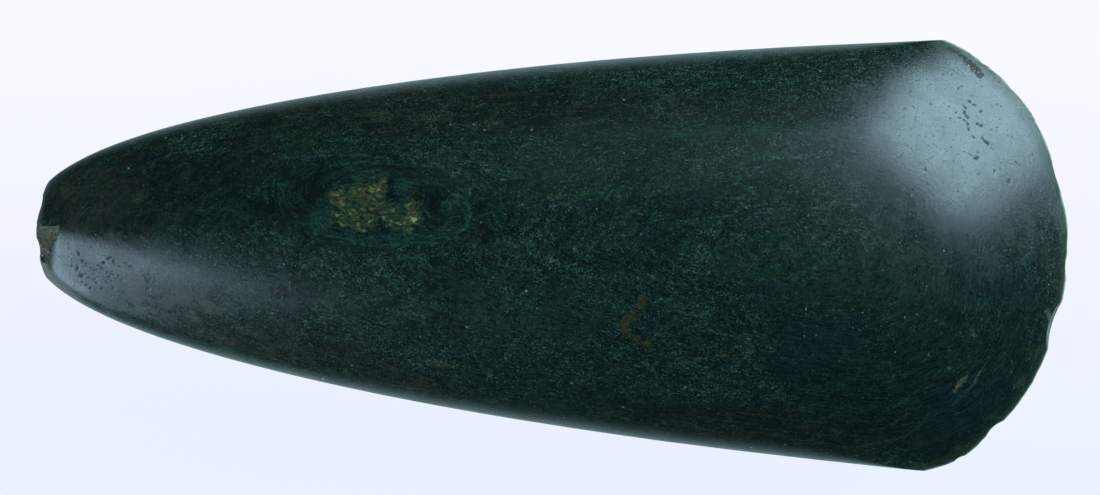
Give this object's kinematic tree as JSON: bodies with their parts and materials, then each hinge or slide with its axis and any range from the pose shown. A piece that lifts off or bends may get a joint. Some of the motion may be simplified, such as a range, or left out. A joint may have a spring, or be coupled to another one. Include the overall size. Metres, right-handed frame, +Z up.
{
  "type": "greenstone celt",
  "caption": "Polished stone axe blade that tapers from a flared, curved cutting edge to a narrow blunt poll, oval in section, with a chipped edge.",
  "frame": {"origin": "bottom centre of the stone's box, on the surface that it lies on", "axes": "+X from the blunt poll towards the cutting edge, +Y across the blade, +Z up through its thickness"},
  "size_m": [0.146, 0.0612, 0.0287],
  "materials": {
    "polished_greenstone": "ground and polished dark green stone with an earthy inclusion and worn, chipped ends"
  },
  "bodies": {
    "root": {"celt": "polished_greenstone"}
  },
  "joints": []
}
